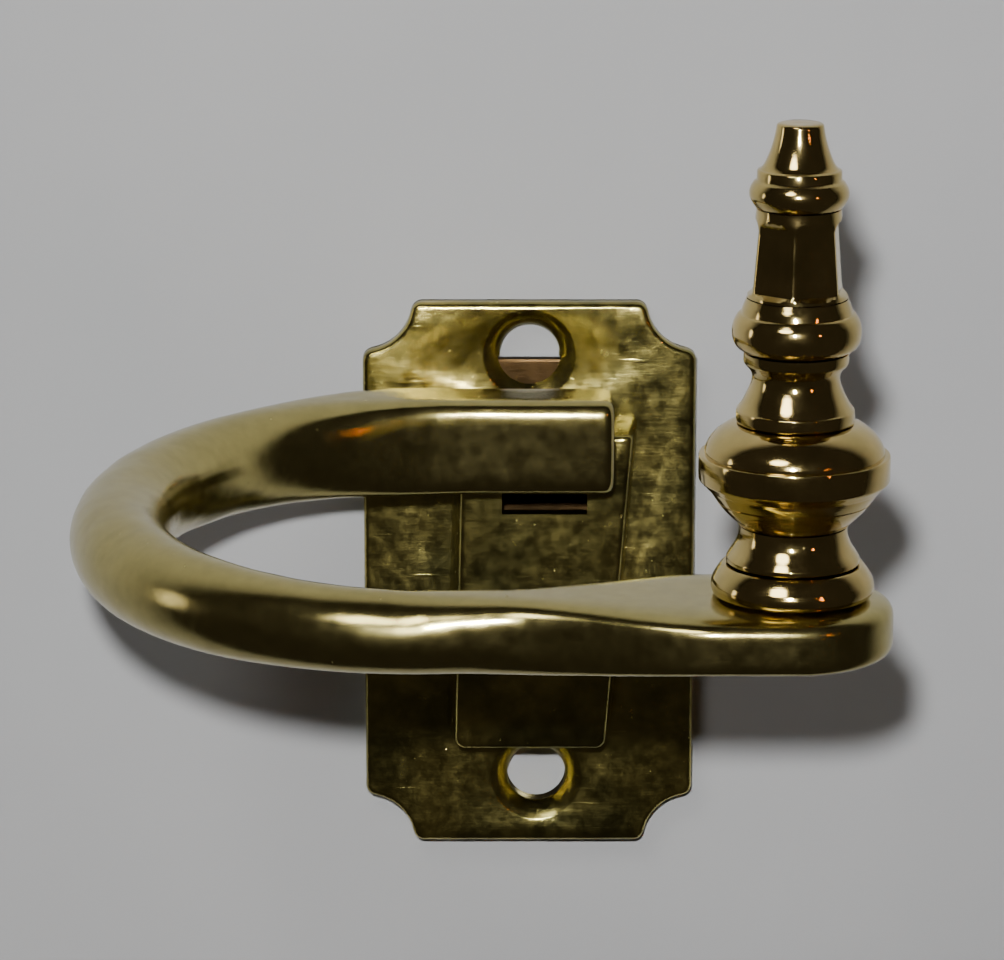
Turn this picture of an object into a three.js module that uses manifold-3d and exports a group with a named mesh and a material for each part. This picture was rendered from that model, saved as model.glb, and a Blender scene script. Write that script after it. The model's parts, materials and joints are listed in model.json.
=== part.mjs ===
// Brass wall hook with a sliding arm, in millimetres, +Z up.
// The origin is the middle of the plate's back. +Y goes into the wall, and the arm reaches out along -Y.
import * as THREE from "three";
import { mergeVertices } from "three/addons/utils/BufferGeometryUtils.js";
import Module from "manifold-3d";

const wasm = await Module();
wasm.setup();

// ---- Driving dimensions ----
const fit = 0.3; // running clearance between pieces that slide or pass through each other
const seam = 0.08; // the line between two pieces that are fixed face to face
const beyond = 1; // how far a cutter runs past the face that it opens

const plate = { width: 32.9, height: 55.7, thick: 3.2, notch: 4.9 };
const screwHole = { radius: 2.95, sinkRadius: 4.45, sinkDepth: 1.5 };
const upperHole = { x: 0, z: 22.6 };
const lowerHole = { x: 0.75, z: -21.0 };

// The socket is a raised box that leans a little to the right and narrows downwards.
const socket = { proud: 7.2, wall: 1.9, topWall: 0.8, bottom: -16.0, round: 1.0 };
const socketBase = { bottomLeft: -8.2, bottomRight: 8.2, topLeft: -7.5, topRight: 10.7 };
const socketDraft = { left: 0.9, right: 0.7, end: 0.25 };

const tenon = { x: 1.45, width: 7.7, height: 3.1, bottom: 12.2 };
const slideTravel = 3.6;
const tongue = { width: 10.4, thick: 1.3, above: 6.6, below: 10.2 };
const tongueScrew = { spacing: 4.2, radius: 0.7, headRadius: 1.3, headDepth: 0.6, length: 6.0 };
const screwSlot = { width: 0.5, depth: 0.3 };

const root = { left: -8.4, right: 8.0, depth: 8.0, height: 9.2, gap: 0.3, below: 0.05, cornerPower: 9 };
// The rounding of the block's back right corner, from above, and where the block turns into the rod.
const rootCorner = { radius: 4.2, width: 3.6, depth: 2.2 };
const rootBlend = { before: 3.5, after: 1 };
// The rod is thinnest at the front, this many times as far along as its side.
const rod = { rootRadius: 5.0, sideRadius: 4.35, frontRadius: 3.25, thinnest: 1.9 };
const loop = { bendX: -8.5, bendHalfWidth: 28.0, bendHalfDepth: 32.6 };
const pad = { x: 20.72, radius: 8.2, thick: 5.0, round: 0.9, topRound: 1.0, aboveCentre: 3.3 };
const flare = { from: -3, to: 15, squareFrom: 4, power: 5 };

const stud = { radius: 1.5, intoCap: 3.2, pastNut: 0.1 };
const nut = { acrossCorners: 6.2, thick: 1.5 };
const washer = { radius: 3.1, thick: 0.4 };
const nutRecess = { radius: 3.5, depth: 2.4 };

const roundSides = 32;
const rodSides = 24;
const boreSides = 24;
const screwSides = 16;
const bendSteps = 30;
// Where sections stand along the straight at the wall, and along the straight to the pad.
const backShares = [0, 0.24, 0.48, 0.67, 0.8, 0.87, 1];
const frontShares = [0.19, 0.32, 0.43, 0.53, 0.61, 0.7, 0.8, 1];

// ---- Places worked out from the dimensions ----
const plateFront = -plate.thick;
const socketFront = plateFront - socket.proud;
const rootBack = socketFront - root.gap;
const armY = rootBack - root.depth / 2;
const armZ = tenon.bottom + root.height / 2 - root.below;
const frontY = armY - 2 * loop.bendHalfDepth;
const padTop = armZ + pad.aboveCentre;
const padBottom = padTop - pad.thick;
const finialBase = padTop + seam;
const tenonTop = tenon.bottom + tenon.height;
const tenonMiddle = tenon.bottom + tenon.height / 2;
const socketTop = tenonTop + fit + socket.topWall;
const tongueTop = tenonTop + tongue.above;
const tongueBottom = tenon.bottom - tongue.below;
const tongueBack = -fit;
const tongueFront = tongueBack - tongue.thick;
const channelFront = tongueFront - fit;
const recessTop = padBottom + nutRecess.depth;
const washerBottom = recessTop - seam - washer.thick;
const nutBottom = washerBottom - seam - nut.thick;

// ---- Finishes ----
const brass = (color, roughness) => new THREE.MeshStandardMaterial({ color, roughness, metalness: 1 });
const plateBrass = brass(0xb59a45, 0.34);
const armBrass = brass(0xae8f4a, 0.24);
const finialBrass = brass(0xc49a56, 0.15);
const roughBrass = brass(0x9a8040, 0.55);
const steel = brass(0x8c8c88, 0.4);

// ---- Helpers ----
function solidOf(geometry) {
  geometry.deleteAttribute("normal");
  geometry.deleteAttribute("uv");
  const merged = mergeVertices(geometry, 1e-4);
  const vertProperties = new Float32Array(merged.attributes.position.array);
  const triVerts = new Uint32Array(merged.index.array);
  return new wasm.Manifold(new wasm.Mesh({ numProp: 3, vertProperties, triVerts }));
}

function meshOf(name, body, material) {
  const made = body.getMesh();
  const geometry = new THREE.BufferGeometry();
  geometry.setAttribute("position", new THREE.BufferAttribute(new Float32Array(made.vertProperties), 3));
  geometry.setIndex(new THREE.BufferAttribute(new Uint32Array(made.triVerts), 1));
  geometry.computeVertexNormals();
  const mesh = new THREE.Mesh(geometry, material);
  mesh.name = name;
  return mesh;
}

// A closed skin over rings of points, each ring with the same count. The rings may run either way round.
function loft(rings) {
  const sides = rings[0].length;
  const points = rings.flat().flatMap((p) => [p.x, p.y, p.z]);
  const faces = [];
  for (let r = 0; r + 1 < rings.length; r += 1) {
    for (let i = 0; i < sides; i += 1) {
      const a = r * sides + i;
      const b = r * sides + ((i + 1) % sides);
      faces.push(a, b, b + sides, a, b + sides, a + sides);
    }
  }
  const last = (rings.length - 1) * sides;
  for (let i = 1; i + 1 < sides; i += 1) {
    faces.push(0, i + 1, i, last, last + i, last + i + 1);
  }
  const skin = (index) => {
    const geometry = new THREE.BufferGeometry();
    geometry.setAttribute("position", new THREE.Float32BufferAttribute(points, 3));
    geometry.setIndex(index);
    return solidOf(geometry);
  };
  const body = skin(faces);
  return body.volume() > 0 ? body : skin(faces.reverse());
}

function box(left, right, back, front, bottom, top) {
  const shape = new THREE.BoxGeometry(right - left, front - back, top - bottom);
  shape.translate((left + right) / 2, (back + front) / 2, (bottom + top) / 2);
  return solidOf(shape);
}

// A turned solid about a vertical axis, from [radius, height] pairs that start and end on the axis.
function turned(profile, x, y, z, sides = roundSides) {
  const points = profile.map(([radius, height]) => new THREE.Vector2(radius, height));
  const shape = new THREE.LatheGeometry(points, sides);
  shape.rotateX(Math.PI / 2);
  shape.translate(x, y, z);
  return solidOf(shape);
}

// The same about an axis that runs along Y, from [radius, y] pairs.
function turnedAlongY(profile, x, z, sides = roundSides) {
  const points = profile.map(([radius, depth]) => new THREE.Vector2(radius, depth));
  const shape = new THREE.LatheGeometry(points, sides);
  shape.translate(x, 0, z);
  return solidOf(shape);
}

function cylinder(radius, x, y, bottom, top, sides = roundSides) {
  return turned([[0, bottom], [radius, bottom], [radius, top], [0, top]], x, y, 0, sides);
}

// ---- Wall plate ----
function plateOutline() {
  const w = plate.width / 2;
  const h = plate.height / 2;
  const n = plate.notch;
  const shape = new THREE.Shape();
  shape.moveTo(n - w, -h);
  shape.lineTo(w - n, -h);
  shape.absarc(w, -h, n, Math.PI, Math.PI / 2, true);
  shape.lineTo(w, h - n);
  shape.absarc(w, h, n, -Math.PI / 2, -Math.PI, true);
  shape.lineTo(n - w, h);
  shape.absarc(-w, h, n, 0, -Math.PI / 2, true);
  shape.lineTo(-w, n - h);
  shape.absarc(-w, -h, n, Math.PI / 2, 0, true);
  return shape;
}

function screwCutter({ x, z }) {
  const { radius, sinkRadius, sinkDepth } = screwHole;
  const slope = (sinkRadius - radius) / sinkDepth;
  return turnedAlongY(
    [
      [0, plateFront - beyond],
      [sinkRadius + beyond * slope, plateFront - beyond],
      [radius, plateFront + sinkDepth],
      [radius, beyond],
      [0, beyond],
    ],
    x,
    z,
  );
}

// The socket's hollow, open at the back of the plate.
function hollow() {
  const top = socketTop - socket.topWall;
  const bottom = socket.bottom + socket.wall;
  const ring = (y, inset) =>
    socketRing(y, bottom, top, inset.left + socket.wall, inset.right + socket.wall);
  return loft([ring(beyond, { left: 0, right: 0 }), ring(socketFront + socket.wall, socketDraft)]);
}

// Where the socket's sides stand at a height, by how far down the box it is.
function socketSide(z) {
  const up = (z - socket.bottom) / (socketTop - socket.bottom);
  return {
    left: socketBase.bottomLeft + (socketBase.topLeft - socketBase.bottomLeft) * up,
    right: socketBase.bottomRight + (socketBase.topRight - socketBase.bottomRight) * up,
  };
}

// The outline of the box at one depth, rounded at its two bottom corners.
function socketRing(y, bottom, top, insetLeft, insetRight) {
  const low = socketSide(bottom);
  const high = socketSide(top);
  const r = socket.round;
  const left = low.left + insetLeft;
  const right = low.right - insetRight;
  const corner = (x, from) => {
    const points = [];
    for (let i = 0; i <= 4; i += 1) {
      const angle = from + (i / 4) * (Math.PI / 2);
      points.push(new THREE.Vector3(x + r * Math.cos(angle), y, bottom + r + r * Math.sin(angle)));
    }
    return points;
  };
  return [
    ...corner(left + r, Math.PI),
    ...corner(right - r, 1.5 * Math.PI),
    new THREE.Vector3(high.right - insetRight, y, top),
    new THREE.Vector3(high.left + insetLeft, y, top),
  ];
}

function makePlate() {
  const shape = new THREE.ExtrudeGeometry(plateOutline(), {
    depth: plate.thick,
    bevelEnabled: false,
    curveSegments: 10,
  });
  shape.rotateX(Math.PI / 2);
  const half = tongue.width / 2 + fit;
  const channelBottom = tongueBottom - slideTravel - fit;
  const channel = box(tenon.x - half, tenon.x + half, channelFront, beyond, channelBottom, tongueTop + fit);
  return solidOf(shape)
    .subtract(screwCutter(upperHole))
    .subtract(screwCutter(lowerHole))
    .subtract(hollow())
    .subtract(channel);
}

function makeSocket() {
  const base = socketRing(plateFront - seam, socket.bottom, socketTop, 0, 0);
  const frontBottom = socket.bottom + socketDraft.end;
  const frontTop = socketTop - socketDraft.end;
  const front = socketRing(socketFront, frontBottom, frontTop, socketDraft.left, socketDraft.right);
  const half = tenon.width / 2 + fit;
  const sill = tenon.bottom - slideTravel - fit;
  const window = box(
    tenon.x - half,
    tenon.x + half,
    socketFront - beyond,
    socketFront + socket.wall + beyond,
    sill,
    tenonTop + fit,
  );
  return loft([base, front]).subtract(hollow()).subtract(window);
}

// ---- Arm ----
// The centre line: straight along the wall, round a half ellipse, and straight again to the pad.
function armStations() {
  const stations = [];
  const add = (x, y, dx, dy, length) => stations.push({ x, y, dx, dy, length });
  const start = root.right - loop.bendX;
  for (const share of backShares) {
    add(root.right - share * start, armY, -1, 0, share * start);
  }
  const meanRadius = (loop.bendHalfWidth + loop.bendHalfDepth) / 2;
  for (let i = 1; i <= bendSteps; i += 1) {
    const t = (i / bendSteps) * Math.PI;
    const dx = -loop.bendHalfWidth * Math.cos(t);
    const dy = -loop.bendHalfDepth * Math.sin(t);
    const size = Math.hypot(dx, dy);
    add(
      loop.bendX - loop.bendHalfWidth * Math.sin(t),
      armY - loop.bendHalfDepth * (1 - Math.cos(t)),
      dx / size,
      dy / size,
      start + meanRadius * t,
    );
  }
  const end = start + meanRadius * Math.PI;
  for (const share of frontShares) {
    const run = share * (pad.x - loop.bendX);
    add(loop.bendX + run, frontY, 1, 0, end + run);
  }
  return stations;
}

// One section of the arm: a squared block at the root, a round tapering rod, then a flat flare to the pad.
function armRing(station) {
  const toSide = root.right - loop.bendX + ((loop.bendHalfWidth + loop.bendHalfDepth) / 4) * Math.PI;
  const toFront = toSide * rod.thinnest;
  const { smoothstep, lerp } = THREE.MathUtils;
  const rootLength = root.right - root.left;
  const { before, after } = rootBlend;
  const squared = 1 - smoothstep(station.length, rootLength - before, rootLength + after);
  let radius = lerp(rod.rootRadius, rod.sideRadius, Math.min(station.length / toSide, 1));
  if (station.length > toSide) {
    radius = lerp(rod.sideRadius, rod.frontRadius, smoothstep(station.length, toSide, toFront));
  }
  const onFront = station.y === frontY && station.dx === 1;
  const flared = onFront ? smoothstep(station.x, flare.from, flare.to) : 0;
  const flatter = onFront ? smoothstep(station.x, flare.squareFrom, flare.to) : 0;
  const across = lerp(lerp(radius, root.depth / 2, squared), pad.radius, flared);
  const up = lerp(lerp(radius, root.height / 2, squared), pad.thick / 2, flared);
  const power = lerp(lerp(2, root.cornerPower, squared), flare.power, flatter);
  const middle = lerp(armZ, padTop - pad.thick / 2, flared);
  const ring = [];
  for (let i = 0; i < rodSides; i += 1) {
    const angle = ((i + 0.5) / rodSides) * 2 * Math.PI;
    const c = Math.cos(angle);
    const s = Math.sin(angle);
    const reach = (Math.abs(c) ** power + Math.abs(s) ** power) ** (-1 / power);
    const side = across * reach * c;
    const x = station.x + station.dy * side;
    const y = station.y - station.dx * side;
    ring.push(new THREE.Vector3(x, y, middle + up * reach * s));
  }
  return ring;
}

function makeArm() {
  const loopBody = loft(armStations().map(armRing));
  const { radius, round, topRound, thick } = pad;
  const eased = round * (1 - Math.SQRT1_2);
  const easedTop = topRound * (1 - Math.SQRT1_2);
  const padBody = turned(
    [[0, 0], [radius - round, 0], [radius - eased, eased], [radius, round], [radius, thick - topRound],
      [radius - easedTop, thick - easedTop], [radius - topRound, thick], [0, thick]],
    pad.x,
    frontY,
    padBottom,
  );
  const half = tenon.width / 2;
  const tenonBody = box(
    tenon.x - half,
    tenon.x + half,
    rootBack - root.depth / 4,
    tongueFront - seam,
    tenon.bottom,
    tenonTop,
  );
  const rootLow = armZ - root.height / 2 - beyond;
  const rootHigh = armZ + root.height / 2 + beyond;
  const corner = rootCorner;
  const cornerX = root.right - corner.radius;
  const rounding = box(
    root.right - corner.width,
    root.right + beyond,
    rootBack - corner.depth,
    rootBack + beyond,
    rootLow,
    rootHigh,
  ).subtract(cylinder(corner.radius, cornerX, rootBack - corner.radius, rootLow, rootHigh));
  const flatTop = box(
    loop.bendX,
    pad.x + radius + beyond,
    frontY - 2 * radius,
    frontY + 2 * radius,
    padTop,
    padTop + radius,
  );
  let body = loopBody.subtract(rounding).add(padBody).add(tenonBody).subtract(flatTop);
  for (const x of tongueScrewPlaces()) {
    body = body.subtract(screwBore(x));
  }
  return body
    .subtract(studBore(padBottom - beyond, padTop + beyond))
    .subtract(cylinder(nutRecess.radius, pad.x, frontY, padBottom - beyond, recessTop, boreSides));
}

// ---- Tongue and its screws ----
function tongueScrewPlaces() {
  return [tenon.x - tongueScrew.spacing / 2, tenon.x + tongueScrew.spacing / 2];
}

function screwBore(x) {
  const radius = tongueScrew.radius + fit;
  const deep = tongueBack - tongueScrew.length - fit;
  const profile = [[0, deep], [radius, deep], [radius, beyond], [0, beyond]];
  return turnedAlongY(profile, x, tenonMiddle, screwSides);
}

function makeTongue() {
  const half = tongue.width / 2;
  let body = box(tenon.x - half, tenon.x + half, tongueFront, tongueBack, tongueBottom, tongueTop);
  for (const x of tongueScrewPlaces()) {
    const wide = tongueScrew.headRadius + fit;
    const narrow = tongueScrew.radius + fit;
    const depth = tongueBack - tongueScrew.headDepth;
    body = body.subtract(
      turnedAlongY(
        [[0, tongueFront - beyond], [narrow, tongueFront - beyond], [narrow, depth], [wide, tongueBack],
          [wide, beyond], [0, beyond]],
        x,
        tenonMiddle,
        screwSides,
      ),
    );
  }
  return body;
}

function makeTongueScrew(x) {
  const { radius, headRadius, headDepth, length } = tongueScrew;
  const slot = box(x - headRadius - beyond, x + headRadius + beyond, tongueBack - screwSlot.depth, beyond,
    tenonMiddle - screwSlot.width / 2, tenonMiddle + screwSlot.width / 2);
  return turnedAlongY(
    [[0, tongueBack - length], [radius, tongueBack - length], [radius, tongueBack - headDepth],
      [headRadius, tongueBack], [0, tongueBack]],
    x,
    tenonMiddle,
    screwSides,
  ).subtract(slot);
}

// ---- Finial ----
// Heights are above the pad, and each section is bored for the stud that holds the stack together.
const finialSections = [
  ["finial_foot", [[6.2, 0], [6.45, 0.3], [6.58, 0.9], [6.5, 1.35], [6.1, 2.0], [5.62, 2.66]]],
  ["finial_neck", [[5.35, 2.66], [5.33, 3.1], [4.83, 4.0], [4.5, 4.65], [4.35, 5.3], [4.35, 5.82]]],
  ["finial_bowl", [[4.45, 5.82], [5.05, 6.5], [6.15, 7.75], [6.85, 8.86], [7.6, 9.5], [7.69, 9.65],
    [7.69, 11.6], [7.25, 11.8], [6.95, 12.55], [6.45, 13.2], [5.8, 13.75], [4.75, 14.28]]],
  ["finial_collar", [[4.72, 14.28], [4.72, 15.3], [3.9, 16.6], [3.6, 17.3], [3.5, 17.9], [3.9, 18.8],
    [4.2, 19.3], [4.2, 20.05]]],
  ["finial_ring", [[4.35, 20.05], [4.8, 20.45], [5.05, 21.0], [5.17, 21.65], [5.05, 22.4], [4.5, 23.2],
    [4.1, 24.1], [4.0, 24.4]]],
  ["finial_shaft", [[3.98, 24.4], [3.95, 24.75], [3.45, 30.9], [3.38, 31.62]]],
  ["finial_cap", [[3.42, 31.62], [3.7, 32.05], [3.96, 32.8], [3.8, 33.35], [3.38, 33.9], [3.34, 34.55],
    [2.9, 34.95], [2.4, 36.0], [2.05, 37.2], [1.85, 38.25], [1.65, 38.43]]],
];
const capBase = 31.62;
const shaftFlats = {
  bottom: 24.8,
  top: 30.6,
  acrossBottom: 3.4,
  acrossTop: 2.98,
  turn: 0.37,
  bottomStep: 0.1,
  topRun: 0.25,
  keep: 2,
};

function sectionBody(profile) {
  const bottom = profile[0][1];
  const top = profile[profile.length - 1][1] - seam;
  const closed = profile.map(([radius, height]) => [radius, Math.min(height, top)]);
  return turned([[0, bottom], ...closed, [0, top]], pad.x, frontY, finialBase);
}

// The block that leaves a tapered six-sided stretch on the shaft when it is intersected with it.
function shaftKeeper() {
  const { bottom, top, acrossBottom, acrossTop, turn, bottomStep, topRun, keep } = shaftFlats;
  const hexagon = (across, height) => {
    const corner = across / Math.cos(Math.PI / 6);
    return Array.from({ length: 6 }, (_, i) => {
      const angle = turn + (i / 6) * 2 * Math.PI;
      return new THREE.Vector3(
        pad.x + corner * Math.cos(angle),
        frontY + corner * Math.sin(angle),
        finialBase + height,
      );
    });
  };
  const wide = acrossBottom + keep;
  return loft([
    hexagon(wide, bottom - keep),
    hexagon(wide, bottom - bottomStep),
    hexagon(acrossBottom, bottom),
    hexagon(acrossTop, top),
    hexagon(wide, top + topRun),
    hexagon(wide, top + keep),
  ]);
}

function makeFinial() {
  return finialSections.map(([name, profile]) => {
    let body = sectionBody(profile);
    if (name === "finial_shaft") {
      body = body.intersect(shaftKeeper());
    }
    const bottom = finialBase + profile[0][1];
    const blind = name === "finial_cap" ? stud.intoCap : profile[profile.length - 1][1];
    return meshOf(name, body.subtract(studBore(bottom - beyond, bottom + blind)), finialBrass);
  });
}

// ---- Stud, washer and nut under the pad ----
const studBore = (bottom, top) => cylinder(stud.radius + fit, pad.x, frontY, bottom, top, boreSides);

function makeWasher() {
  return cylinder(washer.radius, pad.x, frontY, washerBottom, recessTop - seam, boreSides)
    .subtract(studBore(washerBottom - beyond, recessTop + beyond));
}

function makeNut() {
  return cylinder(nut.acrossCorners / 2, pad.x, frontY, nutBottom, nutBottom + nut.thick, 6)
    .subtract(studBore(nutBottom - beyond, nutBottom + nut.thick + beyond));
}

function makeStud() {
  const top = finialBase + capBase + stud.intoCap - fit;
  return cylinder(stud.radius, pad.x, frontY, nutBottom - stud.pastNut, top, boreSides);
}

// ---- Assembly ----
const group = new THREE.Group();
group.add(meshOf("back_plate", makePlate(), plateBrass));
group.add(meshOf("socket", makeSocket(), plateBrass));
group.add(meshOf("arm", makeArm(), armBrass));
group.add(meshOf("tongue", makeTongue(), roughBrass));
tongueScrewPlaces().forEach((x, i) => {
  group.add(meshOf(["tongue_screw_left", "tongue_screw_right"][i], makeTongueScrew(x), steel));
});
makeFinial().forEach((mesh) => group.add(mesh));
group.add(meshOf("finial_stud", makeStud(), steel));
group.add(meshOf("stud_washer", makeWasher(), steel));
group.add(meshOf("stud_nut", makeNut(), steel));

export default group;
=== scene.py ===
import json
import math

import bmesh
import bpy
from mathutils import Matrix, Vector, noise


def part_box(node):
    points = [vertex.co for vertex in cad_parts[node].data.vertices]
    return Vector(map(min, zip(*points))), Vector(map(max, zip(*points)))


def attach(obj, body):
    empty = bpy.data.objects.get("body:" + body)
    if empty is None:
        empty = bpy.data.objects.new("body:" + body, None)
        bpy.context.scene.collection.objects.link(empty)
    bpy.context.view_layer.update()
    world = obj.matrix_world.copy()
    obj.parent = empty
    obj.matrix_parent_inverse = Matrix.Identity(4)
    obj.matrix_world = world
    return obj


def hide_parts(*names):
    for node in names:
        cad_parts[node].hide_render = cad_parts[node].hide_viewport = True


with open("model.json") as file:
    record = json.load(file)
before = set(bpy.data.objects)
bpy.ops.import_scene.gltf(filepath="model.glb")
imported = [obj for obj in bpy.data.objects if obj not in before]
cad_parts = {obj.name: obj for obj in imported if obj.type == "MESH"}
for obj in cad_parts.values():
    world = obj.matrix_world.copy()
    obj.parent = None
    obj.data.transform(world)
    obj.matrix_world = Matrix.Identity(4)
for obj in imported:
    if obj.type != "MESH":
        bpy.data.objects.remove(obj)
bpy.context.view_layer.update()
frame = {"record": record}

MM = 0.001
JOINTS = {j["name"]: j for j in frame["record"]["behaviour"]["joints"]}


# ---- Places read from the frame, in millimetres ----
def box_mm(node):
    low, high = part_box(node)
    return low / MM, high / MM


PLATE_LOW, PLATE_HIGH = box_mm("back_plate")
SOCKET_LOW, SOCKET_HIGH = box_mm("socket")
TONGUE_LOW, TONGUE_HIGH = box_mm("tongue")
PAD_X, PAD_Y = (Vector(JOINTS["finial_turn"]["pos_m"]) / MM)[:2]
PAD_TOP = box_mm("finial_foot")[0].z
PLATE_FRONT = PLATE_LOW.y
SOCKET_FRONT = SOCKET_LOW.y

# ---- Sizes of the shapes, in millimetres ----
NOTCH = 4.9
SCREW_BORE, SCREW_SINK, SINK_DEPTH = 2.95, 4.45, 1.5
UPPER_HOLE = (0.0, 22.6)
LOWER_HOLE = (0.75, -21.0)
SOCKET_DRAFT = {"left": 0.9, "right": 0.7, "end": 0.25}
SOCKET_WALL, SOCKET_TOP_WALL = 1.9, 0.8
SOCKET_ROUND = (1.0, 0.5)
SOCKET_EDGE = 0.55
HOLLOW_ROUND = (1.0, 0.4)
SOCKET_BASE = {"bottom_left": -8.2, "bottom_right": 8.2, "top_left": -7.5, "top_right": 10.7}
TENON_X, TENON_WIDTH, TENON_HEIGHT, TENON_BOTTOM = 1.45, 7.7, 3.1, 12.2
FIT = 0.3
SEAM = 0.08
SLIDE = 3.6
ROOT_RIGHT, ROOT_LEFT, ROOT_DEPTH, ROOT_HEIGHT = 8.0, -8.4, 8.0, 9.2
ROOT_END_ROUND, ROOT_BACK_CORNER, ROOT_BELOW_TENON = 0.9, 4.2, 0.05
ROD_ROOT, ROD_SIDE, ROD_FRONT = 5.0, 4.35, 3.25
BEND_X, BEND_WIDE, BEND_DEEP = -8.5, 27.92, 32.6
BEND_MEAN = (BEND_WIDE + BEND_DEEP) / 2
PAD_RADIUS, PAD_THICK = 8.2, 5.0
STUD_BORE, NUT_RECESS, NUT_RECESS_DEPTH = 1.8, 3.5, 2.4
SHOWING_GAP = 0.06
ROOT_BACK = SOCKET_FRONT - FIT
ARM_Y = ROOT_BACK - ROOT_DEPTH / 2
ARM_Z = TENON_BOTTOM + ROOT_HEIGHT / 2 - ROOT_BELOW_TENON
PAD_MIDDLE = PAD_TOP - SEAM - PAD_THICK / 2


def smoothstep(x, low, high):
    t = min(max((x - low) / (high - low), 0.0), 1.0)
    return t * t * (3 - 2 * t)


def lerp(a, b, t):
    return a + (b - a) * t


# ---- Mesh helpers ----
def add_object(name, mesh, body, slot, *nodes):
    piece = bpy.data.objects.new(name, mesh)
    bpy.context.scene.collection.objects.link(piece)
    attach(piece, body)
    if nodes:
        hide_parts(*nodes)
    return piece


def finish_mesh(bm, name, sharp_deg=38):
    """Turns a bmesh in millimetres into a smooth mesh in metres, with its hard edges marked."""
    bmesh.ops.remove_doubles(bm, verts=bm.verts, dist=1e-4)
    bmesh.ops.dissolve_degenerate(bm, edges=bm.edges, dist=1e-5)
    bmesh.ops.recalc_face_normals(bm, faces=bm.faces)
    limit = math.radians(sharp_deg)
    for edge in bm.edges:
        edge.smooth = len(edge.link_faces) == 2 and edge.calc_face_angle(0.0) < limit
    for face in bm.faces:
        face.smooth = True
    bmesh.ops.scale(bm, vec=(MM, MM, MM), verts=bm.verts)
    mesh = bpy.data.meshes.new(name)
    bm.to_mesh(mesh)
    bm.free()
    return mesh


def skin(rings, closed_ends=True):
    """A bmesh skin over rings of points, in millimetres."""
    bm = bmesh.new()
    rows = [[bm.verts.new(p) for p in ring] for ring in rings]
    count = len(rows[0])
    for a, b in zip(rows, rows[1:]):
        for i in range(count):
            j = (i + 1) % count
            bm.faces.new((a[i], a[j], b[j], b[i]))
    if closed_ends:
        bm.faces.new(rows[0][::-1])
        bm.faces.new(rows[-1])
    return bm


def cut(mesh, *cutters):
    """mesh less each cutter, all in metres, by Blender's exact boolean."""
    target = bpy.data.objects.new("cut_target", mesh)
    bpy.context.scene.collection.objects.link(target)
    tools = []
    for cutter in cutters:
        tool = bpy.data.objects.new("cut_tool", cutter)
        bpy.context.scene.collection.objects.link(tool)
        modifier = target.modifiers.new("cut", "BOOLEAN")
        modifier.operation = "DIFFERENCE"
        modifier.solver = "EXACT"
        modifier.object = tool
        tools.append(tool)
    graph = bpy.context.evaluated_depsgraph_get()
    made = bpy.data.meshes.new_from_object(target.evaluated_get(graph))
    for obj in (target, *tools):
        bpy.data.objects.remove(obj)
    return made


def circle(radius, sides):
    """Points round a circle, as pairs."""
    step = 2 * math.pi / sides
    return [(radius * math.cos(i * step), radius * math.sin(i * step)) for i in range(sides)]


def paint(mesh, material):
    """Gives the mesh one material and no other."""
    mesh.materials.clear()
    mesh.materials.append(material)


def box_mesh(low, high):
    """A box in metres between two corners given in millimetres."""
    bm = bmesh.new()
    bmesh.ops.create_cube(bm, size=1.0)
    for v in bm.verts:
        for k in range(3):
            v.co[k] = high[k] if v.co[k] > 0 else low[k]
    return finish_mesh(bm, "box")


def sharpen(mesh, sharp_deg=32, bevel=0.0):
    """Joins flat neighbours, softens the hard edges by a bevel in millimetres, and marks what is left."""
    bm = bmesh.new()
    bm.from_mesh(mesh)
    bmesh.ops.scale(bm, vec=(1 / MM,) * 3, verts=bm.verts)
    bmesh.ops.dissolve_limit(bm, angle_limit=math.radians(0.1), verts=bm.verts, edges=bm.edges)
    if bevel:
        limit = math.radians(sharp_deg)
        hard = [e for e in bm.edges if len(e.link_faces) == 2 and e.calc_face_angle(0.0) > limit]
        bmesh.ops.bevel(bm, geom=hard, offset=bevel, segments=2, affect="EDGES", clamp_overlap=True,
                        profile=0.5)
    return finish_mesh(bm, mesh.name, sharp_deg)


# ---- Turned pieces ----
TURNED_SIDES = 144


def stroke(points, steps=7):
    """A smooth curve through points, as a Catmull-Rom spline; two points make a straight line."""
    if len(points) == 2:
        return [Vector(points[0]), Vector(points[1])]
    p = [Vector(q) for q in points]
    p = [2 * p[0] - p[1], *p, 2 * p[-1] - p[-2]]
    curve = []
    for a, b, c, d in zip(p, p[1:], p[2:], p[3:]):
        for i in range(steps):
            t = i / steps
            curve.append(0.5 * (2 * b + (c - a) * t + (2 * a - 5 * b + 4 * c - d) * t ** 2
                                + (3 * b - a - 3 * c + d) * t ** 3))
    return [*curve, p[-2]]


def outline(strokes):
    """The strokes end to end, each start dropped where it repeats the last point."""
    line = []
    for points in strokes:
        for q in stroke(points):
            if not line or (q - line[-1]).length > 1e-3:
                line.append(q)
    return line


def groove(radius, height, depth=0.11, width=0.16):
    """A fine turned line: three points that dip into the surface."""
    return [(radius, height - width / 2), (radius - depth, height), (radius, height + width / 2)]


def turned_mesh(name, line, shape=None):
    """A solid on the finial's axis from (radius, height above the pad); shape may alter a radius."""
    rings = []
    for q in [Vector((0.02, line[0].y)), *line, Vector((0.02, line[-1].y))]:
        ring = []
        for i in range(TURNED_SIDES):
            angle = 2 * math.pi * i / TURNED_SIDES
            radius = shape(q.x, q.y, angle) if shape else q.x
            x, y = PAD_X + radius * math.cos(angle), PAD_Y + radius * math.sin(angle)
            ring.append((x, y, PAD_TOP + q.y))
        rings.append(ring)
    return finish_mesh(skin(rings), name, 30)


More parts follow.
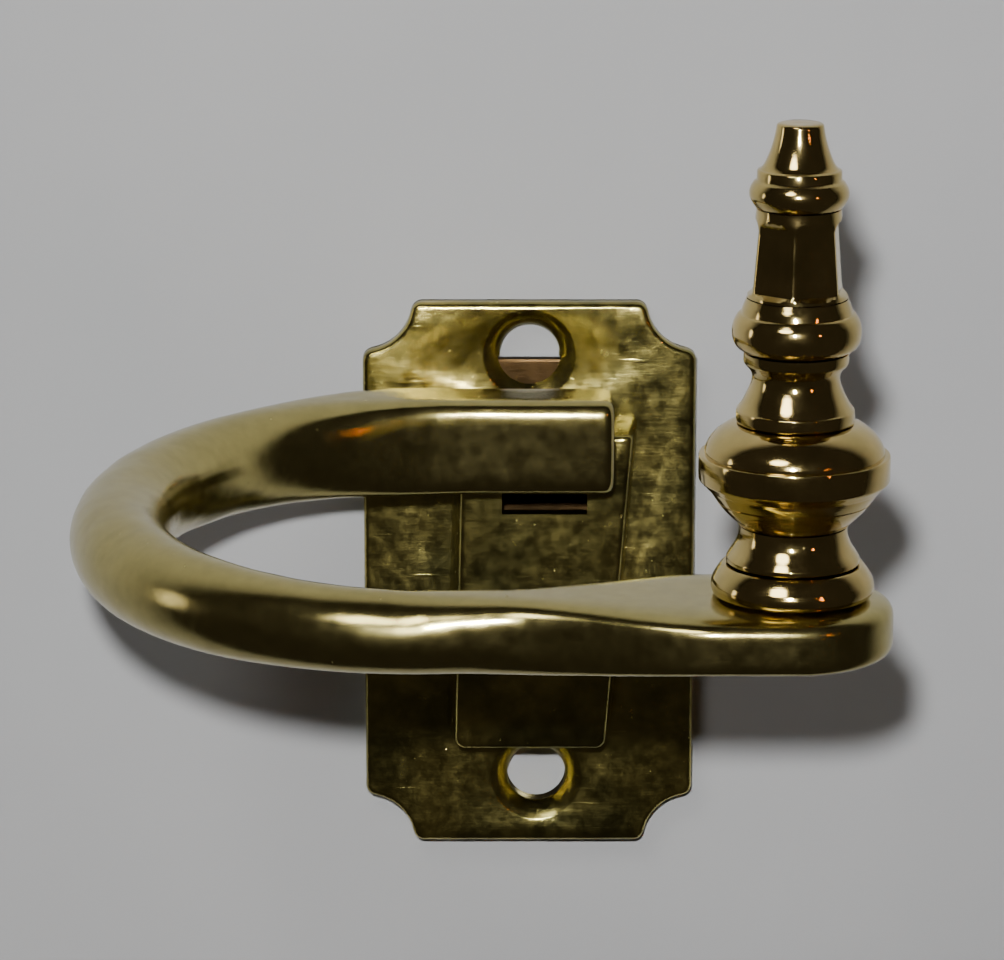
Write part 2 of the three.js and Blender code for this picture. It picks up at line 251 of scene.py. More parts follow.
FINIAL = {
    "finial_foot": [
        [(6.1, 0.0), (6.42, 0.2), (6.57, 0.6), (6.57, 1.0), (6.46, 1.4)],
        [(6.46, 1.4), (6.1, 2.0), (5.76, 2.45), (5.6, 2.58)],
    ],
    "finial_neck": [
        [(5.3, 2.7), (5.38, 2.8), (5.36, 3.1)],
        [(5.36, 3.1), (5.12, 3.5), (4.8, 4.0), (4.5, 4.6), (4.36, 5.2), (4.34, 5.72)],
    ],
    "finial_bowl": [
        [(4.36, 5.84), (4.5, 5.92)],
        groove(4.52, 6.05, 0.05, 0.12),
        [(4.56, 6.1), (5.05, 6.5), (5.65, 7.1), (6.15, 7.72)],
        groove(6.18, 7.8, 0.06, 0.12),
        [(6.22, 7.86), (6.6, 8.4), (6.85, 8.8)],
        [(6.85, 8.8), (6.98, 8.86), (7.3, 9.2)],
        [(7.3, 9.2), (7.6, 9.5), (7.68, 9.66)],
        [(7.68, 9.66), (7.69, 11.42)],
        [(7.69, 11.42), (7.63, 11.6), (7.45, 11.64)],
        [(7.45, 11.64), (7.24, 11.66)],
        [(7.24, 11.66), (7.2, 12.0), (6.95, 12.58), (6.45, 13.22), (5.8, 13.75), (5.2, 14.06),
         (4.74, 14.18)],
    ],
    "finial_collar": [
        [(4.62, 14.3), (4.73, 14.38), (4.73, 15.2), (4.62, 15.36)],
        [(4.62, 15.36), (4.3, 15.85), (3.92, 16.6), (3.6, 17.35), (3.49, 17.95), (3.62, 18.4),
         (3.92, 18.8)],
        [(3.92, 18.8), (4.14, 19.05), (4.2, 19.25)],
        [(4.2, 19.25), (4.2, 19.93)],
    ],
    "finial_ring": [
        [(4.22, 20.07), (4.4, 20.16)],
        [(4.4, 20.16), (4.8, 20.46), (5.08, 21.0), (5.17, 21.65), (5.06, 22.4), (4.76, 22.95),
         (4.6, 23.12)],
        [(4.6, 23.12), (4.46, 23.16)],
        [(4.46, 23.16), (4.34, 23.6), (4.14, 24.1), (4.04, 24.34)],
    ],
    "finial_shaft": [
        [(4.0, 24.42), (3.96, 24.75), (3.8, 26.5), (3.63, 28.5), (3.47, 30.4), (3.39, 31.2),
         (3.37, 31.52)],
    ],
    "finial_cap": [
        [(3.37, 31.64), (3.46, 31.7), (3.72, 32.05), (3.92, 32.45), (3.96, 32.85), (3.86, 33.25),
         (3.62, 33.66)],
        [(3.62, 33.66), (3.44, 33.8), (3.38, 33.86)],
        [(3.38, 33.86), (3.36, 34.5)],
        [(3.36, 34.5), (3.3, 34.62), (3.1, 34.72)],
        [(3.1, 34.72), (2.82, 35.05), (2.5, 35.75), (2.2, 36.6), (2.0, 37.4), (1.88, 38.1)],
        [(1.88, 38.1), (1.84, 38.2), (1.72, 38.29), (1.5, 38.34)],
        [(1.5, 38.34), (0.6, 38.28)],
    ],
}
FLATS = {"bottom": 24.85, "top": 29.9, "across_bottom": 3.4, "across_top": 3.0, "turn": 0.37}


def six_sided(radius, height, angle):
    """The round shaft with six tapered flats milled on it, each running out in an arch at its top."""
    if radius < 1:
        return radius
    up = (height - FLATS["bottom"]) / (FLATS["top"] - FLATS["bottom"])
    across = lerp(FLATS["across_bottom"], FLATS["across_top"], min(max(up, 0), 1))
    if height < FLATS["bottom"]:
        across += (FLATS["bottom"] - height) * 3.0
    if height > FLATS["top"]:
        across += (height - FLATS["top"]) ** 2 * 0.55
    sixth = math.pi / 3
    off = (angle - FLATS["turn"]) % sixth - sixth / 2
    return min(radius, across / math.cos(off))


def make_finial(brass):
    for name, strokes in FINIAL.items():
        line = outline(strokes)
        mesh = turned_mesh(name + "_turned", line, six_sided if name == "finial_shaft" else None)
        add_object(name + "_turned", mesh, "finial", "finial_brass", name)
        mesh.materials.append(brass)


# ---- Arm ----
BEND_STATIONS, FRONT_STATIONS, PAD_END_STATIONS = 110, 40, 25
ALMOST_ONE = 0.99995
ROOT_LENGTH = ROOT_RIGHT - ROOT_LEFT
SQUARE_SPAN = (ROOT_LENGTH - 4, ROOT_LENGTH + 9)
CORNER_SPAN = (ROOT_LENGTH - 2, ROOT_LENGTH + 26)
FLARE_SPAN, FLAT_TOP_SPAN, FLAT_BOTTOM_SPAN = (-3, 15), (-14, 10), (-6, 12)
ROUND_POWER, ROOT_SHARPER, TOP_POWER, BOTTOM_POWER = 2, 3.2, 5, 6
FRONT_TAPER_END = 1.9
WAVE_HEIGHT = 0.07


def arm_stations():
    """Points along the arm's centre line, as (x, y, dx, dy, length from the root's end)."""
    rows = []
    for x in (8.0, 7.96, 7.85, 7.65, 7.35, 7.0, 6.6, 6.1, 5.5, 4.8, 4.0, 3.0, 1.5, 0, -1.5, -3, -4,
              -4.7, -5.2, -5.7, -6.2, -6.8, -7.4, -8.0, BEND_X):
        rows.append((x, ARM_Y, -1.0, 0.0, ROOT_RIGHT - x))
    start = ROOT_RIGHT - BEND_X
    for i in range(1, BEND_STATIONS + 1):
        t = math.pi * i / BEND_STATIONS
        dx, dy = -BEND_WIDE * math.cos(t), -BEND_DEEP * math.sin(t)
        size = math.hypot(dx, dy)
        x = BEND_X - BEND_WIDE * math.sin(t)
        y = ARM_Y - BEND_DEEP * (1 - math.cos(t))
        rows.append((x, y, dx / size, dy / size, start + BEND_MEAN * t))
    end = start + BEND_MEAN * math.pi
    for i in range(1, FRONT_STATIONS + 1):
        x = lerp(BEND_X, PAD_X, i / FRONT_STATIONS)
        rows.append((x, PAD_Y, 1.0, 0.0, end + x - BEND_X))
    for i in range(1, PAD_END_STATIONS + 1):
        lean = math.pi / 2 * (1 - (1 - i / PAD_END_STATIONS) ** 1.6)
        rows.append((PAD_X + PAD_RADIUS * min(math.sin(lean), ALMOST_ONE), PAD_Y, 1.0, 0.0, end + 40))
    return rows


def arm_ring(x, y, dx, dy, length, sides=72):
    """One section: squared at the root, then a round rod that tapers, then a flat flare and a round pad."""
    to_side = ROOT_RIGHT - BEND_X + BEND_MEAN / 2 * math.pi
    squared = 1 - smoothstep(length, *SQUARE_SPAN)
    corners = 1 - smoothstep(length, *CORNER_SPAN)
    radius = lerp(ROD_ROOT, ROD_SIDE, min(length / to_side, 1))
    if length > to_side:
        radius = lerp(ROD_SIDE, ROD_FRONT, smoothstep(length, to_side, to_side * FRONT_TAPER_END))
    on_front = dx > 0.999
    flared = smoothstep(x, *FLARE_SPAN) if on_front else 0.0
    flat_top = smoothstep(x, *FLAT_TOP_SPAN) if on_front else 0.0
    flat_bottom = smoothstep(x, *FLAT_BOTTOM_SPAN) if on_front else 0.0
    across = lerp(lerp(radius, ROOT_DEPTH / 2, squared), PAD_RADIUS, flared)
    up = lerp(lerp(radius, ROOT_HEIGHT / 2, squared), PAD_THICK / 2, flared)
    middle = lerp(ARM_Z, PAD_MIDDLE, flared)
    end_inset = 0.0
    if squared > 0.5 and x > ROOT_RIGHT - ROOT_END_ROUND:
        past = x - ROOT_RIGHT + ROOT_END_ROUND
        end_inset = ROOT_END_ROUND - math.sqrt(max(ROOT_END_ROUND ** 2 - past ** 2, 0))
    beyond = max(x - PAD_X, 0.0) if on_front else 0.0
    width = math.sqrt(max(PAD_RADIUS ** 2 - beyond ** 2, 0)) if beyond else across
    ring = []
    for i in range(sides):
        angle = 2 * math.pi * (i + 0.5) / sides
        c, s = math.cos(angle), math.sin(angle)
        power = ROUND_POWER * ROOT_SHARPER ** (corners ** 1.5)
        if on_front:
            power = lerp(power, TOP_POWER, flat_top) if s > 0 else lerp(power, BOTTOM_POWER, flat_bottom)
        reach = (abs(c) ** power + abs(s) ** power) ** (-1 / power)
        side = (width - end_inset) * reach * c
        rise = (up - end_inset) * reach * s
        if beyond:
            out = min(math.hypot(beyond, side) / PAD_RADIUS, 1.0)
            rise = math.copysign(up * max(1 - out ** power, 0) ** (1 / power), s)
        p = Vector((x + dy * side, y - dx * side, middle + rise))
        past = x - ROOT_RIGHT + ROOT_BACK_CORNER
        if squared > 0.5 and past > 0:
            fall = ROOT_BACK_CORNER - math.sqrt(max(ROOT_BACK_CORNER ** 2 - past ** 2, 0))
            p.y = min(p.y, ROOT_BACK - fall)
        rough = 1 - flat_bottom
        if rough:
            wave = noise.noise(p * 0.16) + 0.45 * noise.noise(p * 0.41 + Vector((7, 3, 1)))
            p += Vector((dy * c, -dx * c, s)) * wave * WAVE_HEIGHT * rough * (0.5 if squared > 0.5 else 1)
        ring.append(p)
    return ring


def make_arm(brass):
    mesh = finish_mesh(skin([arm_ring(*row) for row in arm_stations()]), "arm_body", 40)
    mesh.materials.append(brass)
    low = PAD_MIDDLE - PAD_THICK / 2
    step = low + NUT_RECESS_DEPTH
    places = ((NUT_RECESS, low - 1), (NUT_RECESS, step), (STUD_BORE, step), (STUD_BORE, PAD_TOP + 1))
    rings = [[(PAD_X + a, PAD_Y + b, z) for a, b in circle(radius, 64)] for radius, z in places]
    bore = finish_mesh(skin(rings), "bore")
    body = cut(mesh, bore)
    body.name = "arm_body"
    add_object("arm_body", body, "sliding_arm", "arm_brass", "arm")
    tenon = box_mesh(
        (TENON_X - TENON_WIDTH / 2, ROOT_BACK - 1.0, TENON_BOTTOM),
        (TENON_X + TENON_WIDTH / 2, TONGUE_LOW.y - SEAM, TENON_BOTTOM + TENON_HEIGHT),
    )
    tenon = cut(sharpen(tenon, bevel=0.25), *[screw_form(node, FIT) for node in TONGUE_SCREWS])
    tenon = sharpen(tenon, sharp_deg=20)
    paint(tenon, brass)
    add_object("arm_tenon", tenon, "sliding_arm", "arm_brass", "arm")


# ---- Tongue, its screws, and the stud with its washer and nut ----
TONGUE_SCREWS = ("tongue_screw_left", "tongue_screw_right")
SCREW_HEAD_DEPTH, SCREW_SLOT_DEPTH, SCREW_SLOT_WIDTH = 0.6, 0.3, 0.5
SCREW_SHANK_SHARE = 0.54
WASHER_EDGE, NUT_EDGE = 0.06, 0.25


def round_solid(name, low, high, profile, along_y=False, shape=None, sides=64, ends=True):
    """A solid round the middle line of a box, from (radius, place along the line) points, in mm."""
    middle = (low + high) / 2
    rings = []
    for radius, place in profile:
        ring = []
        for i in range(sides):
            angle = 2 * math.pi * i / sides
            reach = shape(radius, angle) if shape else radius
            a, b = reach * math.cos(angle), reach * math.sin(angle)
            if along_y:
                ring.append((middle.x + a, place, middle.z + b))
            else:
                ring.append((middle.x + a, middle.y + b, place))
        rings.append(ring)
    return finish_mesh(skin(rings, ends), name, 30)


def screw_form(node, gap=0.0):
    """A tongue screw's body without its slot; with a gap it is the cutter for the screw's hole."""
    low, high = box_mm(node)
    head = (high.x - low.x) / 2 + gap
    shank = (high.x - low.x) / 2 * SCREW_SHANK_SHARE + gap
    back = high.y + gap
    profile = [(shank * 0.6, low.y - gap), (shank, low.y + 0.4), (shank, high.y - SCREW_HEAD_DEPTH),
               (head, high.y - 0.1), (head - 0.06, back)]
    return round_solid(node + "_form", low, high, profile, along_y=True)


def make_tongue(brass):
    """The flat bar behind the plate, its edges filed round, with a countersunk hole for each screw."""
    bar = sharpen(box_mesh(TONGUE_LOW, TONGUE_HIGH), bevel=0.3)
    bar = sharpen(cut(bar, *[screw_form(node, SHOWING_GAP) for node in TONGUE_SCREWS]), sharp_deg=20)
    paint(bar, brass)
    # The bar wears the near-black brass, whose dark colour is painted shade for the recess behind the
    # plate.
    add_object("tongue_bar", bar, "sliding_arm", "rough_brass", "tongue")


def make_tongue_screws(steel):
    for node in TONGUE_SCREWS:
        low, high = box_mm(node)
        half = SCREW_SLOT_WIDTH / 2
        middle = (low.z + high.z) / 2
        floor = high.y - SCREW_SLOT_DEPTH
        slot = box_mesh((low.x - 1, floor, middle - half), (high.x + 1, 1.0, middle + half))
        mesh = cut(screw_form(node), slot)
        paint(mesh, steel)
        add_object(node + "_slotted", mesh, "sliding_arm", "steel", node)


def make_stud(steel):
    low, high = box_mm("finial_stud")
    radius = (high.x - low.x) / 2
    profile = [(radius - 0.3, low.z), (radius, low.z + 0.3), (radius, high.z)]
    mesh = round_solid("stud", low, high, profile)
    mesh.materials.append(steel)
    add_object("stud_rod", mesh, "finial", "steel", "finial_stud")


def make_washer_and_nut(steel):
    """A flat washer, and a six-sided nut whose corners are taken off at both faces."""
    stud_low, stud_high = box_mm("finial_stud")
    bore = (stud_high.x - stud_low.x) / 2 + SHOWING_GAP
    low, high = box_mm("stud_washer")
    rim = (high.x - low.x) / 2
    edge = WASHER_EDGE
    profile = [(bore, low.z), (rim - edge, low.z), (rim, low.z + edge), (rim, high.z - edge),
               (rim - edge, high.z), (bore, high.z), (bore, low.z)]
    washer = round_solid("washer", low, high, profile, ends=False)
    washer.materials.append(steel)
    add_object("washer_flat", washer, "sliding_arm", "steel", "stud_washer")
    low, high = box_mm("stud_nut")
    corner = (high.x - low.x) / 2
    flat = corner * math.cos(math.pi / 6)

    def six(radius, angle):
        if radius <= bore:
            return radius
        off = angle % (math.pi / 3) - math.pi / 6
        return min(radius, flat / math.cos(off))

    profile = [(bore, low.z), (flat, low.z), (corner, low.z + NUT_EDGE), (corner, high.z - NUT_EDGE),
               (flat, high.z), (bore, high.z), (bore, low.z)]
    nut = round_solid("nut", low, high, profile, shape=six, sides=72, ends=False)
    nut.materials.append(steel)
    add_object("nut_six_sided", nut, "sliding_arm", "steel", "stud_nut")


# ---- Plate and socket ----
def plate_outline():
    """The notched outline as evenly spaced points, with the tips of the notches worn round."""
    w, h = PLATE_HIGH.x, PLATE_HIGH.z
    corners = []
    for sx, sz, start in ((1, -1, 180), (1, 1, 270), (-1, 1, 0), (-1, -1, 90)):
        for i in range(25):
            a = math.radians(start - 90 * i / 24)
            corners.append(Vector((sx * w + NOTCH * math.cos(a), sz * h + NOTCH * math.sin(a))))
    points = []
    for a, b in zip(corners, corners[1:] + corners[:1]):
        count = max(1, round((b - a).length / 0.3))
        points += [a.lerp(b, k / count) for k in range(count)]
    reach = 3
    total = len(points)
    worn = []
    for i in range(total):
        near = [points[(i + k) % total] for k in range(-reach, reach + 1)]
        worn.append(sum(near, Vector((0, 0))) / len(near))
    return worn


def plate_blank():
    """The plate before it is pierced: drawn in a little at its back, and rolled off at its front edges."""
    outline_points = plate_outline()
    total = len(outline_points)
    outward = []
    for i in range(total):
        along = outline_points[(i + 1) % total] - outline_points[i - 1]
        outward.append(Vector((along.y, -along.x)).normalized())
    middle = sum(outline_points, Vector((0, 0))) / total
    if (outline_points[0] - middle).dot(outward[0]) < 0:
        outward = [-v for v in outward]
    rings = []
    steps = ((0.0, 0.32), (0.8, 0.12), (1.5, 0.0), (2.5, 0.0), (2.85, 0.06), (3.02, 0.16), (3.13, 0.32),
             (3.18, 0.46), (3.2, 0.62))
    for depth, inset in steps:
        ring = []
        for p, out in zip(outline_points, outward):
            q = p - out * inset
            ring.append((q.x, -depth, q.y))
        rings.append(ring)
    return finish_mesh(skin(rings), "plate_blank")


def make_plate(brass):
    half = (TONGUE_HIGH.x - TONGUE_LOW.x) / 2 + FIT
    channel = box_mesh(
        (TENON_X - half, TONGUE_LOW.y - FIT, TONGUE_LOW.z - SLIDE - FIT),
        (TENON_X + half, 1.0, TONGUE_HIGH.z + FIT),
    )
    holes = [screw_cutter(*UPPER_HOLE), screw_cutter(*LOWER_HOLE)]
    mesh = sharpen(cut(plate_blank(), *holes, hollow_mesh(), channel), sharp_deg=28)
    paint(mesh, brass)
    add_object("wall_plate", mesh, "wall_plate", "plate_brass", "back_plate")


def screw_cutter(x, z):
    """The cutter for a countersunk hole, with a softened rim."""
    front, deep = PLATE_FRONT, PLATE_FRONT + SINK_DEPTH
    steps = (
        (SCREW_SINK + 0.7, front - 0.5),
        (SCREW_SINK + 0.2, front),
        (SCREW_SINK, front + 0.08),
        (SCREW_BORE + 0.08, deep - 0.1),
        (SCREW_BORE, deep + 0.05),
        (SCREW_BORE, 1.0),
    )
    rings = [[(x + a, y, z + b) for a, b in circle(radius, 96)] for radius, y in steps]
    return finish_mesh(skin(rings), "screw_cutter")


def socket_side(z, side):
    """Where one side of the socket's foot stands at a height."""
    up = (z - SOCKET_LOW.z) / (SOCKET_HIGH.z - SOCKET_LOW.z)
    return lerp(SOCKET_BASE["bottom_" + side], SOCKET_BASE["top_" + side], up)


def socket_ring(y, bottom, top, left_in, right_in, round_low, round_high, steps=8):
    """The socket's outline at one depth: straight leaning sides with rounded corners."""
    ring = []
    corners = (
        (bottom, "left", round_low, 180),
        (bottom, "right", round_low, 270),
        (top, "right", round_high, 0),
        (top, "left", round_high, 90),
    )
    for z, side, r, start in corners:
        edge = socket_side(z, side) + (left_in if side == "left" else -right_in)
        cx = edge + (r if side == "left" else -r)
        cz = z + (r if z == bottom else -r)
        for i in range(steps + 1):
            a = math.radians(start + 90 * i / steps)
            ring.append((cx + r * math.cos(a), y, cz + r * math.sin(a)))
    return ring


def hollow_mesh():
    """The cutter for the socket's hollow, open at the back."""
    bottom, top = SOCKET_LOW.z + SOCKET_WALL, SOCKET_HIGH.z - SOCKET_TOP_WALL
    left, right = SOCKET_WALL + SOCKET_DRAFT["left"], SOCKET_WALL + SOCKET_DRAFT["right"]
    rings = [
        socket_ring(1.0, bottom, top, SOCKET_WALL, SOCKET_WALL, *HOLLOW_ROUND),
        socket_ring(SOCKET_FRONT + SOCKET_WALL, bottom, top, left, right, *HOLLOW_ROUND),
    ]
    return finish_mesh(skin(rings), "hollow")


def make_socket(brass):
    d = SOCKET_DRAFT
    rings = []
    depth = SOCKET_FRONT - PLATE_FRONT
    steps = ((0.0, 0.0), (0.5, 0.0), (1 - SOCKET_EDGE / abs(depth), 0.0), (0.955, 0.06), (0.978, 0.17),
             (0.993, 0.33), (1.0, SOCKET_EDGE))
    for share, inset in steps:
        rings.append(socket_ring(
            PLATE_FRONT + depth * share,
            SOCKET_LOW.z + d["end"] * share + inset,
            SOCKET_HIGH.z - d["end"] * share - inset,
            d["left"] * share + inset,
            d["right"] * share + inset,
            *SOCKET_ROUND,
        ))
    mesh = finish_mesh(skin(rings), "socket_box")
    half = TENON_WIDTH / 2 + FIT
    window = box_mesh(
        (TENON_X - half, SOCKET_FRONT - 1, TENON_BOTTOM - SLIDE - FIT),
        (TENON_X + half, SOCKET_FRONT + SOCKET_WALL + 1, TENON_BOTTOM + TENON_HEIGHT + FIT),
    )
    mesh = sharpen(cut(mesh, hollow_mesh(), window), sharp_deg=30)
    paint(mesh, brass)
    add_object("socket_box", mesh, "wall_plate", "plate_brass", "socket")


# ---- Materials ----
class Nodes:
    """A small hand for building a node tree."""

    def __init__(self, name):
        self.material = bpy.data.materials.new(name)
        self.material.use_nodes = True
        self.tree = self.material.node_tree
        self.shader = self.tree.nodes["Principled BSDF"]
        self.where = self.add("ShaderNodeTexCoord").outputs["Object"]

    def add(self, kind, inputs=(), **settings):
        node = self.tree.nodes.new(kind)
        for key, value in settings.items():
            setattr(node, key, value)
        for key, value in dict(inputs).items():
            self.feed(node.inputs[key], value)
        return node

    def feed(self, socket, value):
        if isinstance(value, bpy.types.NodeSocket):
            self.tree.links.new(value, socket)
        else:
            socket.default_value = value

    def noise(self, scale, detail=4.0, rough=0.55, stretch=None, turn=(0, 0, 0)):
        """Noise with features about 1 / scale metres long, stretched along an axis if asked."""
        where = self.where
        if stretch:
            placing = {"Vector": where, "Rotation": turn, "Scale": stretch}
            where = self.add("ShaderNodeMapping", placing).outputs[0]
        return self.add("ShaderNodeTexNoise", {"Vector": where, "Scale": scale, "Detail": detail,
                                               "Roughness": rough}).outputs["Fac"]

    def ramp(self, value, low, high, to_low=0.0, to_high=1.0):
        return self.add("ShaderNodeMapRange", {"Value": value, "From Min": low, "From Max": high,
                                               "To Min": to_low, "To Max": to_high}).outputs[0]

    def math(self, operation, a, b=0.0):
        node = self.add("ShaderNodeMath", operation=operation)
        self.feed(node.inputs[0], a)
        self.feed(node.inputs[1], b)
        return node.outputs[0]

    def mix(self, factor, a, b):
        node = self.add("ShaderNodeMix", data_type="RGBA")
        self.feed(node.inputs["Factor"], factor)
        self.feed(node.inputs["A"], a)
        self.feed(node.inputs["B"], b)
        return node.outputs["Result"]

    def bump(self, height, distance, strength=1.0, under=None):
        inputs = {"Height": height, "Distance": distance, "Strength": strength}
        if under is not None:
            inputs["Normal"] = under
        return self.add("ShaderNodeBump", inputs).outputs[0]


def rolled_edges(n):
    """A height that falls away over the last few millimetres before the plate's straight edges."""
    axes = n.add("ShaderNodeSeparateXYZ", {"Vector": n.where})
    waves = n.math("MULTIPLY", n.noise(260, 3), 0.0016)
    heights = []
    for axis, half in (("X", PLATE_HIGH.x), ("Z", PLATE_HIGH.z)):
        out = n.math("ADD", n.math("ABSOLUTE", axes.outputs[axis]), waves)
        fall = n.ramp(out, (half - 2.2) * MM, (half + 0.9) * MM)
        heights.append(n.math("POWER", fall, 2.0))
    return n.math("SUBTRACT", 1.0, n.math("MAXIMUM", *heights))


def brass_material(name, light, dark, rough, wave=0.0, brushed=0.0, nicks=0.0, turned=0.0, grain=0.0,
                   stain=0.3, rolled=False, clouds=150):
    """Brass with cloudy colour, uneven polish, and whichever marks the piece carries."""
    n = Nodes(name)
    cloud = n.noise(clouds, 5)
    tarnish = n.ramp(n.noise(330, 6, 0.65), 0.45, 0.75)
    colour = n.mix(n.ramp(cloud, 0.35, 0.65), dark, light)
    colour = n.mix(n.math("MULTIPLY", tarnish, stain), colour, [c * 0.55 for c in dark[:3]] + [1])
    polish = n.ramp(n.noise(600, 5, 0.7), 0.3, 0.7, rough[0], rough[1])
    normal = None
    if wave:
        normal = n.bump(n.noise(110, 3, 0.5), wave, 0.5)
    if grain:
        normal = n.bump(n.noise(6000, 3, 0.7), grain, 0.6, normal)
    if brushed:
        fine = n.noise(5200, 4, 0.7, (0.06, 1.0, 1.0), (0, math.radians(9), 0))
        broad = n.noise(1900, 3, 0.7, (0.12, 1.0, 1.0), (0, math.radians(16), 0))
        normal = n.bump(n.math("ADD", fine, n.math("MULTIPLY", broad, 0.6)), brushed, 0.7, normal)
        lines = n.ramp(n.noise(1300, 2, 0.8, (0.08, 1.0, 1.0), (0, math.radians(33), 0)), 0.66, 0.74)
        normal = n.bump(lines, brushed * 1.2, 0.5, normal)
    if nicks:
        spot = n.ramp(n.noise(1500, 2, 0.5), 0.735, 0.8)
        normal = n.bump(n.math("SUBTRACT", 1.0, spot), nicks, 0.7, normal)
        polish = n.math("ADD", polish, n.math("MULTIPLY", spot, 0.15))
    if rolled:
        normal = n.bump(rolled_edges(n), 0.00016, 1.0, normal)
    if turned:
        rings = n.noise(9000, 3, 0.6, (0.01, 0.01, 1.0))
        normal = n.bump(rings, turned, 0.6, normal)
    n.feed(n.shader.inputs["Base Color"], colour)
    n.feed(n.shader.inputs["Roughness"], polish)
    n.shader.inputs["Metallic"].default_value = 1.0
    if normal is not None:
        n.feed(n.shader.inputs["Normal"], normal)
    return n.material


def steel_material(name):
    n = Nodes(name)
    colour = n.mix(n.ramp(n.noise(500, 5), 0.35, 0.65), (0.26, 0.26, 0.25, 1), (0.5, 0.5, 0.48, 1))
    n.feed(n.shader.inputs["Base Color"], colour)
    n.feed(n.shader.inputs["Roughness"], n.ramp(n.noise(1500, 4), 0.3, 0.7, 0.28, 0.5))
    n.feed(n.shader.inputs["Normal"], n.bump(n.noise(3000, 3, 0.6, (1, 1, 0.05)), 0.00002, 0.5))
    n.shader.inputs["Metallic"].default_value = 1.0
    return n.material


# ---- Stage, light and camera ----
CAMERA_ELEVATION = math.radians(14.33)
CAMERA_DISTANCE = 415.9
CAMERA_TARGET = Vector((-2.70, 0, 9.12))
FOCAL_PIXELS = 4159.0
PICTURE_WIDTH = 1004


def place_camera():
    data = bpy.data.cameras.new("camera")
    data.sensor_width = 36.0
    data.lens = FOCAL_PIXELS / PICTURE_WIDTH * data.sensor_width
    data.clip_start, data.clip_end = 0.01, 20.0
    camera = bpy.data.objects.new("camera", data)
    back = Vector((0, -math.cos(CAMERA_ELEVATION), math.sin(CAMERA_ELEVATION)))
    camera.location = (CAMERA_TARGET + back * CAMERA_DISTANCE) * MM
    camera.rotation_mode = "QUATERNION"
    camera.rotation_quaternion = (-back).to_track_quat("-Z", "Y")
    bpy.context.scene.collection.objects.link(camera)
    bpy.context.scene.camera = camera


def area_light(name, place, aim, size, power, colour=(1, 1, 1)):
    data = bpy.data.lights.new(name, "AREA")
    data.shape = "DISK"
    data.size = size
    data.energy = power
    data.color = colour
    light = bpy.data.objects.new(name, data)
    light.location = place
    light.rotation_mode = "QUATERNION"
    light.rotation_quaternion = (Vector(aim) - Vector(place)).to_track_quat("-Z", "Y")
    bpy.context.scene.collection.objects.link(light)


# ---- The stage's wall, floor and screens, in metres ----
NEAR_RAY = 0.0025


def stage_material():
    """Matt grey card, clear from behind and to near rays, so that the plate's back is lit and seen."""
    n = Nodes("grey_card")
    colour = n.mix(n.ramp(n.noise(14, 5), 0.3, 0.7), (0.30, 0.305, 0.31, 1), (0.335, 0.337, 0.34, 1))
    n.feed(n.shader.inputs["Base Color"], colour)
    n.shader.inputs["Roughness"].default_value = 0.9
    near = n.math("LESS_THAN", n.add("ShaderNodeLightPath").outputs["Ray Length"], NEAR_RAY)
    unseen = n.math("MAXIMUM", n.add("ShaderNodeNewGeometry").outputs["Backfacing"], near)
    clear = n.add("ShaderNodeBsdfTransparent").outputs[0]
    mix = n.add("ShaderNodeMixShader")
    n.feed(mix.inputs[0], unseen)
    n.feed(mix.inputs[1], n.shader.outputs[0])
    n.feed(mix.inputs[2], clear)
    n.feed(n.tree.nodes["Material Output"].inputs["Surface"], mix.outputs[0])
    return n.material


def flat_sheet(name, corners, material):
    mesh = bpy.data.meshes.new(name)
    mesh.from_pydata(corners, [], [(0, 1, 2, 3)])
    sheet = bpy.data.objects.new(name, mesh)
    bpy.context.scene.collection.objects.link(sheet)
    mesh.materials.append(material)
    return sheet


def screen_material():
    n = Nodes("far_screen")
    colour = n.mix(n.noise(2, 2), (0.33, 0.33, 0.33, 1), (0.38, 0.38, 0.38, 1))
    glow = n.add("ShaderNodeEmission", {"Color": colour})
    n.feed(n.tree.nodes["Material Output"].inputs["Surface"], glow.outputs[0])
    return n.material


def make_stage():
    """A pale wall just behind the plate, a floor well below it, and far screens that close the view."""
    half, back, floor, far = 1.2, 0.0006, -0.3, 3.0
    card = stage_material()
    wall = [(-half, back, floor), (half, back, floor), (half, back, half), (-half, back, half)]
    flat_sheet("backdrop", wall, card)
    ground = [(-far, -far, floor), (far, -far, floor), (far, far, floor), (-far, far, floor)]
    screen = screen_material()
    sheets = [flat_sheet("floor", ground, screen)]
    for side, x, y in (("left", -1, 0), ("right", 1, 0), ("front", 0, -1), ("back", 0, 1)):
        a = Vector((x - y, y + x, 0)) * far
        b = Vector((x + y, y - x, 0)) * far
        low, high = Vector((0, 0, floor)), Vector((0, 0, 2.0))
        sheets.append(flat_sheet("screen_" + side, [a + low, b + low, b + high, a + high], screen))
    for sheet in sheets:
        sheet.visible_glossy = False
        sheet.visible_diffuse = False
        sheet.visible_shadow = False


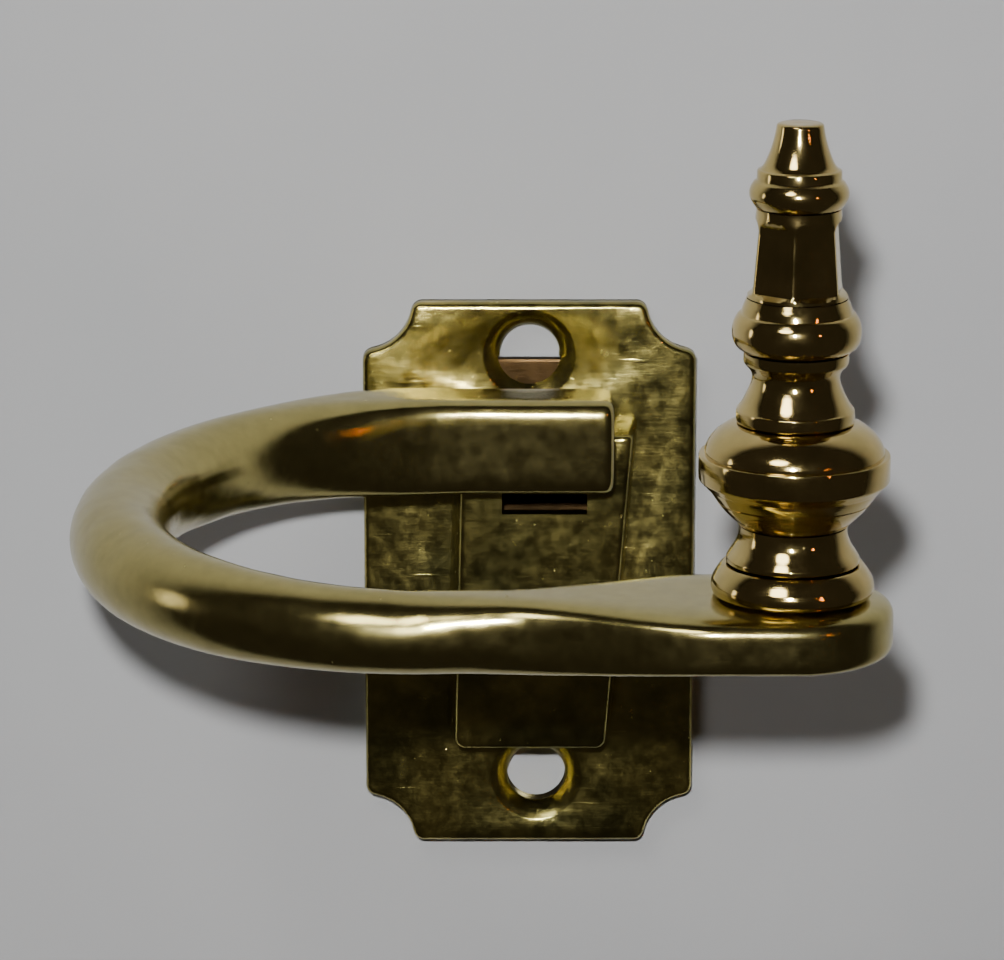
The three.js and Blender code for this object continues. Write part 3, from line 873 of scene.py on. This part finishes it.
def set_light():
    world = bpy.data.worlds.new("world")
    world.use_nodes = True
    bpy.context.scene.world = world
    sky = world.node_tree.nodes["Background"]
    sky.inputs["Color"].default_value = (0.30, 0.26, 0.22, 1)
    sky.inputs["Strength"].default_value = 0.10
    aim = (0, -0.04, 0.012)
    area_light("key", (-0.014, -0.405, 0.142), aim, 0.014, 2.6)
    area_light("soft_front", (-0.22, -0.55, 0.5), aim, 0.25, 1.6, (1.0, 0.97, 0.92))
    area_light("soft_back", (0.35, 0.6, 0.35), aim, 0.5, 3.0)
    area_light("soft_side", (-0.7, 0.1, 0.1), aim, 0.4, 1.0, (1.0, 0.93, 0.85))
    area_light("warm_lamp", (0.5, -0.68, 0.22), aim, 0.02, 0.12, (1.0, 0.28, 0.05))


# ---- The scene ----
place_camera()
PLATE_BRASS = brass_material("plate_brass", (0.54, 0.45, 0.13, 1), (0.24, 0.215, 0.07, 1), (0.14, 0.28),
                             wave=0.0008, brushed=0.00002, nicks=0.00004, grain=0.000004, stain=0.6,
                             rolled=True)
ARM_BRASS = brass_material("arm_brass", (0.48, 0.41, 0.15, 1), (0.42, 0.36, 0.13, 1), (0.13, 0.22),
                           wave=0.0002, brushed=0.000006, nicks=0.00003, grain=0.000009, stain=0.12,
                           clouds=700)
FINIAL_BRASS = brass_material("finial_brass", (0.68, 0.52, 0.20, 1), (0.56, 0.44, 0.16, 1), (0.06, 0.13),
                              nicks=0.000012, turned=0.000009, grain=0.000001, stain=0.15, clouds=300)
# Rough brass for the tongue, given a near-black brown colour: painted shade standing in for the shadow in
# the recess behind the plate and socket.
ROUGH_BRASS_PAINTED_SHADE = brass_material("rough_brass", (0.085, 0.05, 0.02, 1), (0.035, 0.022, 0.01, 1), (0.3, 0.5),
                             wave=0.0004, brushed=0.00003, nicks=0.00006, grain=0.00002)
STEEL = steel_material("steel")

make_plate(PLATE_BRASS)
make_socket(PLATE_BRASS)
make_arm(ARM_BRASS)
make_finial(FINIAL_BRASS)
make_tongue(ROUGH_BRASS_PAINTED_SHADE)
make_tongue_screws(STEEL)
make_stud(STEEL)
make_washer_and_nut(STEEL)
make_stage()
set_light()
